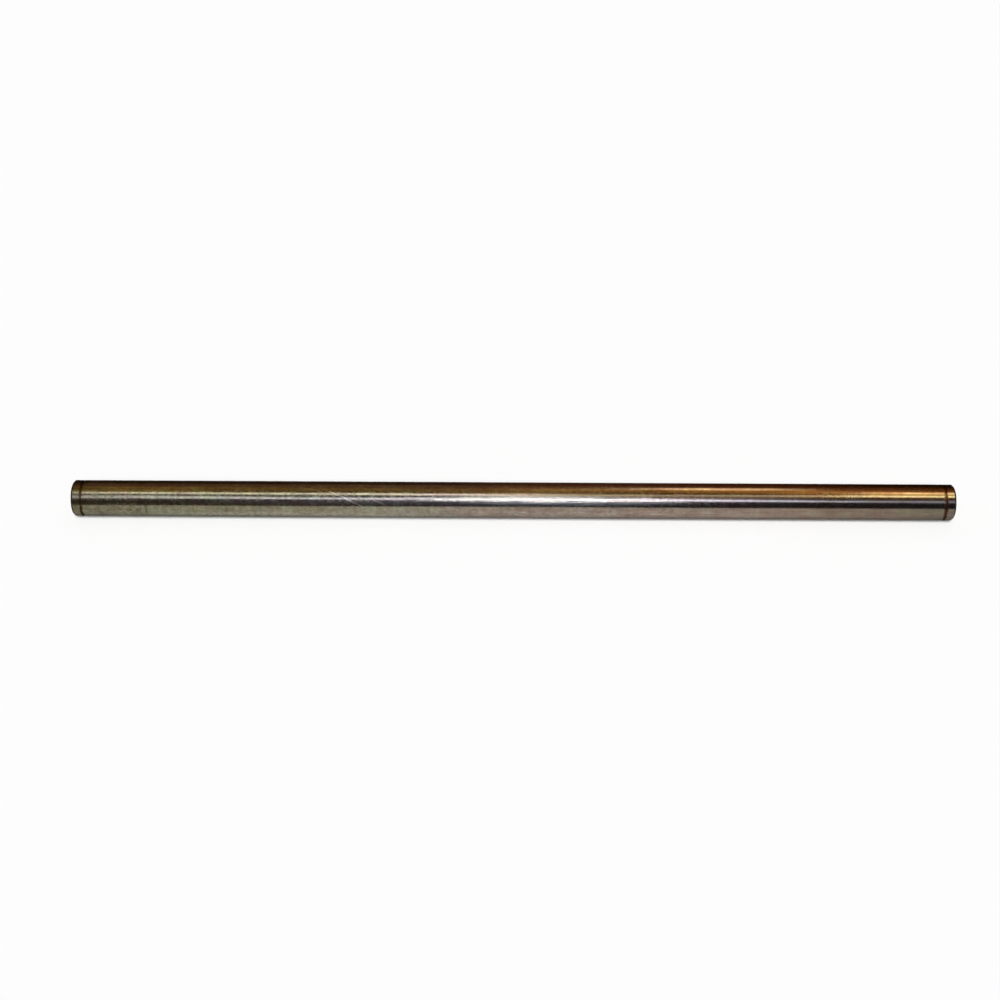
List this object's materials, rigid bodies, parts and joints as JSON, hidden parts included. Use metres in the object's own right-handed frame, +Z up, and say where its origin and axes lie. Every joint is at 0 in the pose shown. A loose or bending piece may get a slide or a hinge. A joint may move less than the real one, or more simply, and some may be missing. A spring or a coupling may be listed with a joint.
{
  "type": "loader pivot pin",
  "caption": "Long solid round steel pivot pin, ground on its shank, chamfered at the ends, with a retaining-ring groove near each end.",
  "frame": {"origin": "on the pin's axis, halfway between its end faces", "axes": "+X along the pin's axis, +Z up as the pin lies on a level surface, +Y across it"},
  "size_m": [0.7746, 0.0316, 0.0318],
  "materials": {
    "ground_steel": "centreless-ground bare steel, polished by use, with a thin brown oil film, light scratches and rust in the ring grooves"
  },
  "bodies": {
    "root": {"pivot_pin": "ground_steel"}
  },
  "joints": []
}
